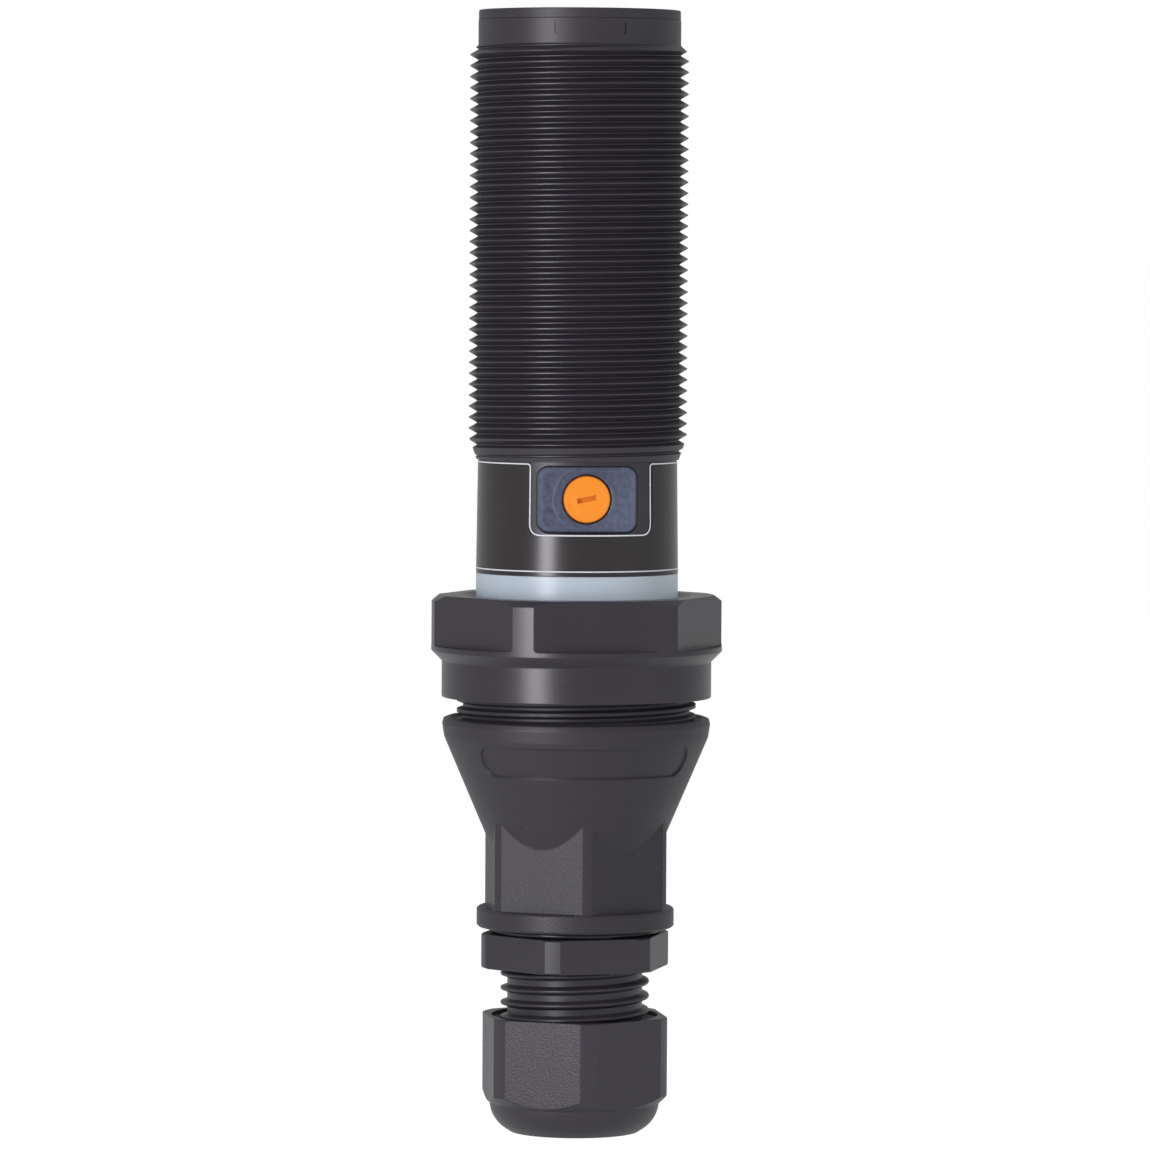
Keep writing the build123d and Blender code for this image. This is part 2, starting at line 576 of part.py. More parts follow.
with BuildPart() as terminal_chamber:
    # wrench hexagon and foot below the cone
    disc(CHAMBER_CORNER_R, FOOT_TOP, HEX_TOP)
    wrench_flats(CHAMBER_FLATS, CHAMBER_ROTATION, FOOT_TOP, HEX_TOP)
    turn((0, CHAMBER_LOW), (FOOT_R - FOOT_EDGE, CHAMBER_LOW), (FOOT_R, CHAMBER_LOW + FOOT_EDGE),
         (FOOT_R, FOOT_TOP - FOOT_EDGE), (FOOT_R - FOOT_EDGE, FOOT_TOP), (0, FOOT_TOP))
    turn((0, CONE_FOOT[1]), CONE_FOOT, CONE_TOP, (CONE_TOP[0] + 0.17, CONE_TOP[1] + 0.5),
         (RIM_R, RIM_LOW), (RIM_R - 0.2, SHOULDER_Z - 0.2), (RIM_R - 0.7, SHOULDER_Z),
         (SHOULDER_GROOVE[0] + 0.3, SHOULDER_Z), SHOULDER_GROOVE, (0, SHOULDER_GROOVE[1]))
    add(panel_cut.part, mode=Mode.SUBTRACT)
    # wiring space, open at the top
    turn((0, TAP_TOP - 0.5), (GLAND_ROOT + 0.1, TAP_TOP - 0.5), (GLAND_ROOT + 0.1, WIRING_FLOOR),
         (NECK_BORE, WIRING_FULL), (NECK_BORE, SHOULDER_Z), (0, SHOULDER_Z), mode=Mode.SUBTRACT)
    add(chamber_thread_cut.part, mode=Mode.SUBTRACT, clean=False)
    add(neck.part, clean=False)
finish(terminal_chamber.part, "terminal_chamber")

# ---- cable gland ----

with BuildPart() as gland_gasket:
    with BuildSketch(Plane.XZ):
        with Locations(((GLAND_CREST + GASKET_R) / 2 + 0.05, (GLAND_HEX_TOP + CHAMBER_LOW) / 2)):
            RectangleRounded(GASKET_R - GLAND_CREST - 0.1, CHAMBER_LOW - GLAND_HEX_TOP, 0.4)
    revolve(axis=Axis.Z)
finish(gland_gasket.part, "gland_gasket")

upper_thread = threaded_rod(GLAND_ROOT, GLAND_CREST, GLAND_PITCH, 0, CHAMBER_LOW, GLAND_TOP,
                            crest_half=0.1, flank=30)
cap_thread = threaded_rod(CAP_THREAD_ROOT, CAP_THREAD_CREST, CAP_THREAD_PITCH, CAP_THREAD_PHASE,
                          TUBE_LOW, GLAND_HEX_LOW, crest_half=CAP_CREST_HALF, flank=25, rounded=True)
with BuildPart() as gland_spigot:
    turn((GLAND_BORE, GLAND_HEX_TOP), (GLAND_ROOT, GLAND_HEX_TOP), (GLAND_ROOT, CHAMBER_LOW),
         (GLAND_CREST + 0.1, CHAMBER_LOW + 1.2), (GLAND_CREST + 0.1, GLAND_TOP - 1.0),
         (GLAND_ROOT - 0.1, GLAND_TOP), (GLAND_BORE, GLAND_TOP))
    add(upper_thread, mode=Mode.INTERSECT, clean=False)
with BuildPart() as gland_tube:
    turn((TUBE_BORE, TUBE_LOW), (CAP_THREAD_ROOT - 0.1, TUBE_LOW), (CAP_THREAD_CREST + 0.2, TUBE_LOW + 1.3),
         (CAP_THREAD_CREST + 0.2, GLAND_HEX_LOW), (TUBE_BORE, GLAND_HEX_LOW))
    add(cap_thread, mode=Mode.INTERSECT, clean=False)
with BuildPart() as gland_body:
    turn((GLAND_BORE, GLAND_HEX_LOW), (GLAND_HEX_R - GLAND_HEX_EDGE, GLAND_HEX_LOW),
         (GLAND_HEX_R, GLAND_HEX_LOW + GLAND_HEX_EDGE), (GLAND_HEX_R, GLAND_HEX_TOP - GLAND_HEX_EDGE),
         (GLAND_HEX_R - GLAND_HEX_EDGE, GLAND_HEX_TOP), (GLAND_BORE, GLAND_HEX_TOP))
    wrench_flats(GLAND_HEX_FLATS, GLAND_ROTATION, GLAND_HEX_LOW, GLAND_HEX_TOP)
    disc(TUBE_BORE, GLAND_HEX_LOW, TUBE_BORE_TOP, mode=Mode.SUBTRACT)
    add(gland_spigot.part, clean=False)
    add(gland_tube.part, clean=False)
finish(gland_body.part, "gland_body")

with BuildPart() as clamping_cage:
    turn((CAGE_BORE, CAGE_LOW), (7.0, CAGE_LOW), (CAGE_R, CAGE_LOW + 1.4), (CAGE_R, CAGE_TOP),
         (CAGE_BORE, CAGE_TOP))
    # slits that part the fingers
    for bearing in range(0, 180, 36):
        with BuildSketch(Plane.XY.offset(CAGE_LOW)):
            Rectangle(20.0, 0.8, rotation=bearing)
        extrude(amount=9.6, mode=Mode.SUBTRACT)
finish(clamping_cage.part, "clamping_cage")

with BuildPart() as sealing_insert:
    turn((SEAL_BORE + 0.6, 4.5), (CAGE_BORE - 0.05, 4.5), (CAGE_BORE - 0.05, 17.5),
         (SEAL_BORE + 0.6, 17.5), (SEAL_BORE, 16.7), (SEAL_BORE, 5.3))
finish(sealing_insert.part, "sealing_insert")

dome_tap = threaded_rod(CAP_THREAD_ROOT, CAP_THREAD_CREST, CAP_THREAD_PITCH, CAP_THREAD_PHASE,
                        DOME_TAP_LOW, DOME_TOP, crest_half=CAP_CREST_HALF, flank=25, gap=RUNNING_GAP,
                        rounded=True)
with BuildPart() as dome_thread_cut:
    disc(CAP_THREAD_CREST + 1.0, DOME_TAP_LOW, DOME_TOP)
    add(dome_tap, mode=Mode.INTERSECT, clean=False)
with BuildPart() as dome_nut:
    with BuildSketch(Plane.XZ):
        with BuildLine():
            Polyline((11.65, 3.9), (DOME_CORNER_R, 5.3), (DOME_CORNER_R, DOME_TOP - DOME_EDGE),
                     (DOME_CORNER_R - DOME_EDGE, DOME_TOP), (CABLE_HOLE_R, DOME_TOP),
                     (CABLE_HOLE_R, 0.3), (CABLE_HOLE_R + 0.3, 0), (8.9, 0), (9.77, 0.58))
            ThreePointArc((9.77, 0.58), (11.1, 2.05), (11.65, 3.9))
        make_face()
    revolve(axis=Axis.Z)
    wrench_flats(DOME_FLATS, DOME_ROTATION, 3.0, DOME_TOP)
    turn((6.0, 1.6), (CABLE_HOLE_R, 1.6), (8.3, 4.0), (8.3, 5.2), (10.4, 5.4),
         (10.4, DOME_TAP_LOW + 0.1), (6.0, DOME_TAP_LOW + 0.1), mode=Mode.SUBTRACT)
    add(dome_thread_cut.part, mode=Mode.SUBTRACT, clean=False)
    turn((6.0, DOME_TOP - DOME_MOUTH_NARROW[1]), (DOME_MOUTH_NARROW[0], DOME_TOP - DOME_MOUTH_NARROW[1]),
         (DOME_MOUTH[0], DOME_TOP - DOME_MOUTH[1]), (DOME_MOUTH[0], DOME_TOP + 1.0),
         (6.0, DOME_TOP + 1.0), mode=Mode.SUBTRACT)
finish(dome_nut.part, "dome_nut")
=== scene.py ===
"""Dresses a cylindrical proximity sensor: finishes, label, printed lines and studio."""

import math

import bpy
from mathutils import Matrix, Vector


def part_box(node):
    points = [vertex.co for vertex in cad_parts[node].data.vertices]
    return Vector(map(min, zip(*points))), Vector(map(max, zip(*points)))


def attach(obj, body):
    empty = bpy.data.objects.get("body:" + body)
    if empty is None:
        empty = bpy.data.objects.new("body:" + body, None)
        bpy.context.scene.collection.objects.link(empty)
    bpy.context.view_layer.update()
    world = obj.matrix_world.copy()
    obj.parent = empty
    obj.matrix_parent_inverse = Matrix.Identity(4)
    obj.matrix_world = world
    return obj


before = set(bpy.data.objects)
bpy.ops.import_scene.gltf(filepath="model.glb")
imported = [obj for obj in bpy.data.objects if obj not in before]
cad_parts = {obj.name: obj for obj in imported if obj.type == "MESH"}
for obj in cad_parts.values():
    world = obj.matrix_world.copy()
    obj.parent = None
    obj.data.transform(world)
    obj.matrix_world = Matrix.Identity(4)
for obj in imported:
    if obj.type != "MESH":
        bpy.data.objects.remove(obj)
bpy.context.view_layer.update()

bl_info = {
    "name": "Proximity sensor finish",
    "version": (1, 0, 0),
    "blender": (4, 5, 0),
    "location": "3D View > Sidebar > Sensor",
    "description": "Builds the finishes, label and studio of an M30 proximity sensor with a terminal chamber",
    "category": "Object",
}

MM = 0.001


# ---- shader expressions ----

def usable(sockets, name):
    """The socket of that name which the node's settings leave in use."""
    return next(s for s in sockets if s.name == name and not s.is_unavailable)


class Field:
    """A number, colour or vector that varies over a surface. Arithmetic on it adds Math nodes."""

    def __init__(self, finish, socket):
        self.finish = finish
        self.socket = socket

    def out(self, name):
        """Another output of the node that this field comes from."""
        return Field(self.finish, usable(self.socket.node.outputs, name))

    def join(self, operation, *values):
        return self.finish.node("ShaderNodeMath", {"operation": operation}, dict(enumerate(values)))

    def __add__(self, other):
        return self.join("ADD", self, other)

    __radd__ = __add__

    def __sub__(self, other):
        return self.join("SUBTRACT", self, other)

    def __rsub__(self, other):
        return self.join("SUBTRACT", other, self)

    def __mul__(self, other):
        return self.join("MULTIPLY", self, other)

    __rmul__ = __mul__

    def __pow__(self, power):
        return self.join("POWER", self, power)

    def absolute(self):
        return self.join("ABSOLUTE", self)

    def positive(self):
        """The number itself where it is above 0, and 0 elsewhere."""
        return self.join("MAXIMUM", self, 0.0)

    def between(self, low, high):
        """0 at low and below, 1 at high and above, with a smooth rise."""
        return self.finish.node(
            "ShaderNodeMapRange",
            {"interpolation_type": "SMOOTHSTEP"},
            {"Value": self, "From Min": low, "From Max": high},
        )


class Finish:
    """A material whose nodes are written as expressions."""

    def __init__(self, name):
        self.material = bpy.data.materials.new(name)
        self.material.use_nodes = True
        self.tree = self.material.node_tree
        self.tree.nodes.clear()

    def node(self, kind, settings=None, sockets=None):
        """Adds a node: its settings first, then the values or links of its sockets."""
        made = self.tree.nodes.new(kind)
        for key, value in (settings or {}).items():
            setattr(made, key, value)
        for key, value in (sockets or {}).items():
            target = made.inputs[key] if isinstance(key, int) else usable(made.inputs, key)
            if isinstance(value, Field):
                self.tree.links.new(value.socket, target)
            else:
                target.default_value = value
        return Field(self, next((s for s in made.outputs if not s.is_unavailable), None))

    def place(self):
        """Where a point of the piece lies, in metres, in the piece's own frame."""
        return self.node("ShaderNodeTexCoord").out("Object")

    def on_face(self, piece):
        """Distances across (along X) and up (along Z) from the middle of a piece that faces -Y."""
        low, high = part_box(piece)
        offset = self.node(
            "ShaderNodeVectorMath",
            {"operation": "SUBTRACT"},
            {0: self.place(), 1: (low + high) / 2},
        )
        parts = self.node("ShaderNodeSeparateXYZ", None, {"Vector": offset})
        return parts.out("X"), parts.out("Z")

    def noise(self, size, detail=2.0, stretch=(1, 1, 1)):
        """Soft random blotches of about this size, from 0 to 1."""
        scaled = self.node(
            "ShaderNodeVectorMath",
            {"operation": "MULTIPLY"},
            {0: self.place(), 1: [s / size for s in stretch]},
        )
        return self.node("ShaderNodeTexNoise", None, {"Vector": scaled, "Scale": 1.0, "Detail": detail})

    def specks(self, spacing, share):
        """Small round spots, one to a cell, 1 inside and 0 outside; share of the cells have one."""
        cells = self.node("ShaderNodeTexVoronoi", None, {"Vector": self.place(), "Scale": 1 / spacing})
        chosen = self.node("ShaderNodeSeparateColor", None, {"Color": cells.out("Color")})
        return (1 - cells.between(0.03, 0.06)) * chosen.between(1 - share, 1 - share + 0.01)

    def rounded(self, radius):
        """The normal of the surface as if its edges had this radius."""
        return self.node("ShaderNodeBevel", {"samples": 6}, {"Radius": radius})

    def length(self, across, up):
        """How long a flat vector is."""
        return (across * across + up * up) ** 0.5

    def mix(self, first, second, factor):
        """A colour between two colours."""
        return self.node(
            "ShaderNodeMix",
            {"data_type": "RGBA"},
            {"Factor": factor, "A": first, "B": second},
        )

    def bump(self, height, distance, **sockets):
        return self.node("ShaderNodeBump", None, {"Height": height, "Distance": distance, **sockets})

    def surface(self, **sockets):
        """The shader itself; a socket's name is written with _ for its spaces."""
        named = {key.replace("_", " "): value for key, value in sockets.items()}
        shader = self.node("ShaderNodeBsdfPrincipled", None, named)
        self.node("ShaderNodeOutputMaterial", None, {"Surface": shader})
        return self.material


def rgb(colour, level=1.0):
    """A property's colour, made lighter or darker, with its alpha."""
    return [min(c * level, 1.0) for c in colour] + [1.0]


# ---- what a user may change ----

def colour_property(name, description, default):
    return bpy.props.FloatVectorProperty(
        name=name, description=description, subtype="COLOR", size=3, min=0.0, max=1.0, default=default
    )


def length_property(name, description, default):
    return bpy.props.FloatProperty(
        name=name, description=description, unit="LENGTH", subtype="DISTANCE", default=default
    )


class SENSOR_PG_plastics(bpy.types.PropertyGroup):
    """Colours of the moulded pieces."""

    barrel: colour_property("Barrel", "Colour of the threaded barrel and its cap", (0.022, 0.0195, 0.0255))
    nut: colour_property("Union nut", "Colour of the union nut", (0.021, 0.0180, 0.0240))
    chamber: colour_property("Chamber", "Colour of the terminal chamber", (0.019, 0.0165, 0.0225))
    gland: colour_property("Gland", "Colour of the cable gland", (0.022, 0.0195, 0.0255))
    dome: colour_property("Dome nut", "Colour of the gland's dome nut", (0.027, 0.0240, 0.0315))
    pad: colour_property("Window", "Colour of the smoky pad round the adjuster", (0.067, 0.078, 0.124))
    adjuster: colour_property("Adjuster", "Colour of the sensitivity adjuster", (0.82, 0.250, 0.009))
    ring: colour_property("Light ring", "Colour of the translucent ring", (0.42, 0.49, 0.55))
    grain: length_property("Grain", "Size of the fine grain of the mould", 0.16 * MM)
    sparks: length_property("Eroded grain", "Size of the coarse grain of the spark-eroded pieces", 0.22 * MM)
    edge: length_property("Edge", "Radius of the moulded edges", 0.22 * MM)


class SENSOR_PG_label(bpy.types.PropertyGroup):
    """The wrapped label and its printed lines."""

    film: colour_property("Film", "Colour of the label film", (0.016, 0.0135, 0.0145))
    ink: colour_property("Ink", "Colour of the printed lines", (0.72, 0.74, 0.78))
    line_width: length_property("Line width", "Width of the printed lines", 0.19 * MM)
    line_rise: length_property("Line rise", "How far the printed lines stand off the film", 0.02 * MM)
    taper: bpy.props.FloatProperty(
        name="Taper", description="Radius that the label loses for each unit of height", default=0.0133
    )


class SENSOR_PG_studio(bpy.types.PropertyGroup):
    """Camera, lamps and floor."""

    bearing: bpy.props.FloatProperty(
        name="Bearing", description="Bearing of the camera round the sensor", subtype="ANGLE",
        default=math.radians(-6.3)
    )
    distance: length_property("Distance", "From the sensor's axis to the camera", 0.95)
    eye: length_property("Eye height", "Height of the camera above the sensor's foot", 0.1225)
    clearance: length_property("Clearance", "Height of the sensor above the floor, to unscrew its dome nut",
                               5.6 * MM)
    lens: bpy.props.FloatProperty(
        name="Lens", description="Focal length on a 36 mm wide sensor, in millimetres", default=217.1
    )


# ---- meshes ----

def new_piece(name, vertices, faces, body, smooth=True):
    """A mesh object that rides on a body."""
    mesh = bpy.data.meshes.new(name)
    mesh.from_pydata([tuple(v) for v in vertices], [], faces)
    mesh.validate()
    mesh.polygons.foreach_set("use_smooth", [smooth] * len(mesh.polygons))
    piece = bpy.data.objects.new(name, mesh)
    bpy.context.scene.collection.objects.link(piece)
    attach(piece, body)
    return piece


def coat(piece, material):
    """Gives a piece or a CAD node this material all over."""
    piece.data.materials.clear()
    piece.data.materials.append(material)


def coat_nodes(material, *names):
    for name in names:
        coat(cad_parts[name], material)


def on_wall(bearing, height, radius):
    """A point on a round wall; the bearing goes from -Y towards +X."""
    return Vector((radius * math.sin(bearing), -radius * math.cos(bearing), height))


def rounded_path(corners, step):
    """Points along straight runs between (x, y, radius) corners, each rounded to its radius.

    The points are no further apart than step, so that they can be wrapped round a wall.
    """
    spots = [Vector(corners[0][:2])]
    for before, here, after in zip(corners, corners[1:], corners[2:]):
        middle, radius = Vector(here[:2]), here[2]
        incoming = (middle - Vector(before[:2])).normalized()
        outgoing = (Vector(after[:2]) - middle).normalized()
        for part in range(9):
            share = part / 8
            near = middle - incoming * radius * (1 - share)
            far = middle + outgoing * radius * share
            spots.append(near.lerp(far, share))
    spots.append(Vector(corners[-1][:2]))
    path = []
    for start, end in zip(spots, spots[1:]):
        pieces = max(1, math.ceil((end - start).length / step))
        path += [start.lerp(end, part / pieces) for part in range(pieces)]
    return path + [spots[-1]]


def ribbon(name, path, width, rise, wall, body):
    """A thin raised line along a path of (arc, height) points, wrapped round a tapered wall.

    wall gives the wall's radius at a height; an arc is measured at the radius of the path's first point.
    """
    girth = wall(path[0].y)
    vertices, faces = [], []
    for number, spot in enumerate(path):
        ahead, behind = path[min(number + 1, len(path) - 1)], path[max(number - 1, 0)]
        along = (ahead - behind).normalized()
        across = Vector((-along.y, along.x))
        for offset, lift in ((-0.5, -rise), (-0.42, rise), (0.42, rise), (0.5, -rise)):
            point = spot + across * offset * width
            vertices.append(on_wall(point.x / girth, point.y, wall(point.y) + lift))
        if number:
            last = 4 * number
            faces += [(last - 4 + k, last + k, last + k + 1, last - 3 + k) for k in range(3)]
    return new_piece(name, vertices, faces, body)


# ---- finishes ----

def moulded(name, colour, grain, rough=0.42, crest=None, wear_and_sheen=0.0, edge=0.0, relief=0.006 * MM,
            glitter=0.06):
    """Black moulded plastic: spark-eroded grain, faint flow marks, dust specks, and ridges made lighter for
    rubbing and a painted highlight.

    crest is the radius of the ridges that are made lighter, for rubbing and a painted highlight, and the
    argument after it says how much lighter they become.
    edge is the radius that sharp edges show, relief the depth of the grain, and glitter how
    much the roughness varies with it.
    """
    finish = Finish(name)
    fine = finish.noise(grain, 3.0)
    flow = finish.noise(9 * MM, 2.0, stretch=(1, 1, 0.35))
    dust = finish.specks(1.3 * MM, 0.10)
    tone = finish.mix(rgb(colour, 0.85), rgb(colour, 1.15), flow)
    tone = finish.mix(tone, rgb(colour, 1.5), 0.5 * fine.between(0.45, 0.75))
    roughness = rough - 0.04 + 0.08 * flow + glitter * (fine - 0.5)
    if crest:
        place = finish.node("ShaderNodeSeparateXYZ", None, {"Vector": finish.place()})
        radius = (place.out("X") ** 2 + place.out("Y") ** 2) ** 0.5
        # rubbing and a painted highlight: the crests of the thread are made lighter
        rubbed = radius.between(crest - 0.25 * MM, crest)
        tone = finish.mix(tone, rgb(colour, 1.0 + wear_and_sheen), rubbed * (0.4 + 0.6 * fine))
        roughness = roughness - 0.08 * rubbed
    dust_grey = (0.32, 0.31, 0.30, 1)
    tone = finish.mix(tone, dust_grey, 0.5 * dust)
    edges = {"Normal": finish.rounded(edge)} if edge else {}
    return finish.surface(Base_Color=tone, Roughness=roughness, Normal=finish.bump(fine, relief, **edges))


def rubber(name, colour=(0.010, 0.010, 0.010)):
    """Black seal rubber."""
    finish = Finish(name)
    marks = finish.noise(0.8 * MM, 3.0)
    return finish.surface(
        Base_Color=finish.mix(rgb(colour, 0.8), rgb(colour, 1.4), marks),
        Roughness=0.26 + 0.12 * marks,
        Normal=finish.bump(marks, 0.01 * MM),
    )


def metal(name, colour, rough=0.3, size=0.5 * MM):
    """Drawn or stamped metal with a faint brushing along its length."""
    finish = Finish(name)
    stain = finish.noise(6 * size, 3.0)
    brushed = finish.noise(size, 2.0, stretch=(1, 1, 6))
    return finish.surface(
        Base_Color=finish.mix(rgb(colour, 0.75), rgb(colour), stain),
        Metallic=1.0,
        Roughness=rough + 0.15 * (brushed - 0.5) + 0.1 * stain,
        Normal=finish.bump(brushed, 0.004 * MM),
    )


def board_laminate():
    """Green board with the tracks showing as a darker and lighter pattern."""
    finish = Finish("board_laminate")
    tracks = finish.node(
        "ShaderNodeTexBrick",
        {"offset": 0.37, "squash": 0.6, "squash_frequency": 3},
        {"Vector": finish.place(), "Scale": 220.0, "Mortar Size": 0.03, "Mortar Smooth": 0.2,
         "Color1": (0.012, 0.10, 0.035, 1), "Color2": (0.010, 0.085, 0.032, 1),
         "Mortar": (0.02, 0.16, 0.05, 1)},
    )
    weave = finish.noise(0.4 * MM, 2.0)
    return finish.surface(
        Base_Color=tracks,
        Roughness=0.30 + 0.1 * weave,
        Normal=finish.bump(weave, 0.01 * MM),
    )


def resin(name, colour, rough=0.35, size=1.5 * MM):
    """Cast or printed stuff with soft blotches: epoxy, sleeves, component bodies."""
    finish = Finish(name)
    cloud = finish.noise(size, 3.0)
    return finish.surface(
        Base_Color=finish.mix(rgb(colour, 0.8), rgb(colour, 1.15), cloud),
        Roughness=rough - 0.06 + 0.12 * cloud,
        Normal=finish.bump(cloud, 0.01 * MM),
    )


def smoky_pad(colour):
    """Smoky translucent plastic with painted shade where it meets the barrel round its edge, a painted
    highlight on its bevelled border, clouds and a faint arc on the left.
    """
    finish = Finish("smoky_pad")
    cloud = finish.noise(0.7 * MM, 5.0)
    fine = finish.noise(0.12 * MM, 2.0)
    low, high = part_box("adjuster_window")
    across, up = finish.on_face("adjuster_window")
    leftwards = 0 - across
    corner = 1.6 * MM
    arc_radius = 4.6 * MM
    past_side = (across.absolute() - ((high.x - low.x) / 2 - corner)).positive()
    past_end = (up.absolute() - ((high.z - low.z) / 2 - corner)).positive()
    inset = corner - finish.length(past_side, past_end)
    # painted shade: a dark band where the pad meets the barrel, round its edge
    painted_gap_shade = 1 - inset.between(0.12 * MM, 0.34 * MM)
    # painted highlight: a lighter band along the bevelled border
    painted_bevel_highlight = inset.between(0.2 * MM, 0.4 * MM) * (1 - inset.between(0.75 * MM, 1.0 * MM))
    from_arc = (finish.length(across, up) - arc_radius).absolute()
    arc = (1 - from_arc.between(0.04 * MM, 0.25 * MM)) * leftwards.between(0, 5 * MM)
    lower_right = (across - up).between(-2 * MM, 9 * MM)
    tone = finish.mix(rgb(colour, 0.65), rgb(colour, 1.45),
                      0.6 * cloud.between(0.3, 0.75) + 0.4 * lower_right)
    # the painted highlight of the border, stronger on the left, where the key lamp stands
    tone = finish.mix(tone, rgb(colour, 1.55),
                      painted_bevel_highlight * (0.25 + 0.5 * leftwards.between(0, high.x - low.x)))
    tone = finish.mix(tone, rgb(colour, 1.9), 0.5 * arc)
    # the painted shade round the edge, laid over everything else
    tone = finish.mix(tone, rgb(colour, 0.22), 0.85 * painted_gap_shade)
    return finish.surface(
        Base_Color=tone,
        Roughness=0.24 + 0.14 * cloud + 0.2 * painted_gap_shade,
        Normal=finish.bump(fine, 0.003 * MM, Normal=finish.rounded(0.5 * MM)),
        Subsurface_Weight=0.10,
        Subsurface_Scale=0.3 * MM,
    )


def bright_plastic(name, colour, piece):
    """Bright plastic of a round adjuster that faces -Y, with a dark red shadow round its rim."""
    finish = Finish(name)
    cloud = finish.noise(1.2 * MM, 3.0)
    fine = finish.noise(0.14 * MM, 2.0)
    low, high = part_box(piece)
    radius = (high.z - low.z) / 2
    rim = finish.length(*finish.on_face(piece)).between(radius - 0.30 * MM, radius - 0.02 * MM)
    shadow = (0.16, 0.020, 0.008, 1)
    tone = finish.mix(rgb(colour, 0.93), rgb(colour, 1.03), cloud)
    return finish.surface(
        Base_Color=finish.mix(tone, shadow, 0.9 * rim),
        Roughness=0.42 + 0.08 * cloud,
        Normal=finish.bump(fine, 0.004 * MM, Normal=finish.rounded(0.12 * MM)),
        Subsurface_Weight=0.12,
        Subsurface_Scale=0.5 * MM,
    )


def milky_ring(colour):
    """Milky light guide with painted shade: a little darker towards the bottom, where it goes in under the
    nut.
    """
    finish = Finish("milky_ring")
    low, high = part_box("light_ring")
    place = finish.node("ShaderNodeSeparateXYZ", None, {"Vector": finish.place()})
    # painted shade: the ring is darker low down and lighter towards its top
    rise = place.out("Z").between(low.z, high.z)
    cloud = finish.noise(2.5 * MM, 3.0)
    tone = finish.mix(rgb(colour, 0.9), rgb(colour, 1.06), 0.6 * rise + 0.4 * cloud)
    return finish.surface(
        Base_Color=tone,
        Roughness=0.28 + 0.1 * cloud,
        Normal=finish.bump(cloud, 0.01 * MM),
        Subsurface_Weight=0.35,
        Subsurface_Scale=1.5 * MM,
        Subsurface_Radius=(0.8, 1.0, 1.0),
    )


def label_film(colour):
    """Glossy film of the label, a little rubbed."""
    finish = Finish("label_film")
    peel = finish.noise(0.7 * MM, 2.0)
    rub = finish.noise(5 * MM, 3.0)
    return finish.surface(
        Base_Color=finish.mix(rgb(colour, 0.85), rgb(colour, 1.3), rub),
        Roughness=0.22 + 0.07 * rub,
        Normal=finish.bump(peel, 0.006 * MM),
    )


def printed_ink(colour):
    """Pale ink that covers the film unevenly."""
    finish = Finish("printed_ink")
    cover = finish.noise(0.25 * MM, 3.0)
    return finish.surface(
        Base_Color=finish.mix(rgb(colour, 0.75), rgb(colour, 1.05), cover),
        Roughness=0.5,
        Normal=finish.bump(cover, 0.004 * MM),
    )


# ---- operators ----

class SensorStep(bpy.types.Operator):
    """One step in making the sensor."""

    bl_idname = "sensor.step"
    bl_label = "Step"
    bl_options = {"REGISTER", "UNDO"}

    def execute(self, context):
        self.make(context.scene)
        return {"FINISHED"}


class SENSOR_OT_barrel(SensorStep):
    """Finish the threaded barrel and its closed cap"""

    bl_idname = "sensor.barrel"
    bl_label = "Barrel and cap"

    def make(self, scene):
        plastics = scene.sensor_plastics
        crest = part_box("threaded_barrel")[1].x
        thread = moulded("barrel_plastic", plastics.barrel, plastics.grain, rough=0.42, crest=crest,
                         wear_and_sheen=0.9, relief=0.012 * MM)
        coat_nodes(thread, "threaded_barrel")
        coat_nodes(moulded("cap_plastic", plastics.barrel, plastics.grain, rough=0.46, relief=0.012 * MM),
                   "front_cap")


class SENSOR_OT_label(SensorStep):
    """Wrap the label film round the plain skirt and print its lines"""

    bl_idname = "sensor.label"
    bl_label = "Label"

    def make(self, scene):
        label = scene.sensor_label
        coat_nodes(label_film(label.film), "label_sleeve")
        ink = printed_ink(label.ink)
        low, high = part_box("label_sleeve")

        def wall(height):
            return high.x - label.taper * (height - low.z)

        girth = wall(high.z)
        seam = math.pi * girth - 0.3 * MM
        left, right = math.radians(-34.2) * girth, math.radians(39.9) * girth
        border_top, border_low = high.z - 0.12 * MM, high.z - 9.75 * MM
        foot_height = low.z + 0.55 * MM
        upper_corner, lower_corner, step = 0.5 * MM, 1.6 * MM, 0.6 * MM
        border = rounded_path([
            (-seam, border_top, 0),
            (left, border_top, upper_corner),
            (left, border_low, lower_corner),
            (right, border_low, lower_corner),
            (right, border_top, upper_corner),
            (seam, border_top, 0),
        ], step)
        foot = rounded_path([(-seam, foot_height, 0), (seam, foot_height, 0)], step)
        for name, path in (("label_border_line", border), ("label_foot_line", foot)):
            line = ribbon(name, path, label.line_width, label.line_rise, wall, "sensor")
            coat(line, ink)


class SENSOR_OT_adjuster(SensorStep):
    """Finish the smoky pad and the orange adjuster in it"""

    bl_idname = "sensor.adjuster"
    bl_label = "Adjuster"

    def make(self, scene):
        plastics = scene.sensor_plastics
        coat_nodes(smoky_pad(plastics.pad), "adjuster_window")
        coat_nodes(bright_plastic("adjuster_orange", plastics.adjuster, "adjuster_screw"),
                   "adjuster_screw")


class SENSOR_OT_light_ring(SensorStep):
    """Finish the milky light ring"""

    bl_idname = "sensor.light_ring"
    bl_label = "Light ring"

    def make(self, scene):
        coat_nodes(milky_ring(scene.sensor_plastics.ring), "light_ring")


class SENSOR_OT_union_nut(SensorStep):
    """Finish the union nut"""

    bl_idname = "sensor.union_nut"
    bl_label = "Union nut"

    def make(self, scene):
        plastics = scene.sensor_plastics
        coat_nodes(moulded("nut_plastic", plastics.nut, plastics.grain, rough=0.30, edge=plastics.edge,
                           relief=0.012 * MM),
                   "union_nut")


